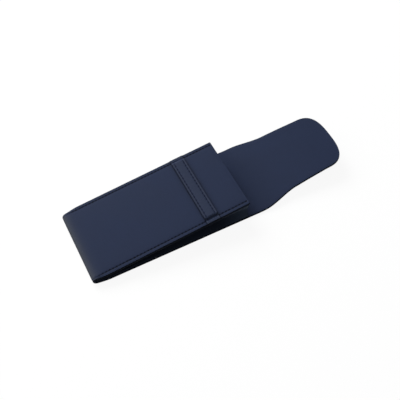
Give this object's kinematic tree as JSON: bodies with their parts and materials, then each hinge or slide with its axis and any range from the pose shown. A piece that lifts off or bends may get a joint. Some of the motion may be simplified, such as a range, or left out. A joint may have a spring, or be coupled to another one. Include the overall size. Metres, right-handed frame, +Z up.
{
  "type": "watch pouch",
  "caption": "Slim leather pouch for a wrist watch, with pleated sides, a flap that folds over the mouth and a strap across the front that holds its tongue.",
  "frame": {"origin": "centre of the bounding box's bottom face: on the surface that the pouch lies on, midway along its open length", "axes": "+Y from the closed end to the tip of the open flap, +Z up out of the front panel, +X to the right when seen from above with the flap away"},
  "size_m": [0.0764, 0.261, 0.0255],
  "materials": {
    "leather": "smooth fine-grained calf leather, navy, semi-matt",
    "lining": "thin smooth lining leather, navy, matt",
    "leatherboard": "bonded leather fibre board, raw",
    "thread": "waxed sewing thread, dark navy"
  },
  "bodies": {
    "pouch": {"body_leather": "leather", "body_lining": "lining", "front_board": "leatherboard", "back_board": "leatherboard", "gusset_left": "leather", "gusset_right": "leather", "keeper_band": "leather", "keeper_band_backing": "lining", "thread_front_left": "thread", "thread_front_right": "thread", "thread_back_left": "thread", "thread_back_right": "thread", "thread_band_lower": "thread", "thread_band_upper": "thread"},
    "flap_neck": {"flap_neck_leather": "leather", "flap_neck_lining": "lining"},
    "flap_tongue": {"flap_tongue_leather": "leather", "flap_tongue_lining": "lining", "flap_tongue_board": "leatherboard"}
  },
  "joints": [
    {"name": "flap_fold", "type": "hinge", "parent": "pouch", "child": "flap_neck", "pos_m": [0, 0.02175, 0.0026], "axis": [1, 0, 0], "range_deg": [0, 82]},
    {"name": "tongue_fold", "type": "hinge", "parent": "flap_neck", "child": "flap_tongue", "pos_m": [0, 0.04691, 0.00614], "axis": [1, 0, 0], "range_deg": [0, 96.5]}
  ]
}
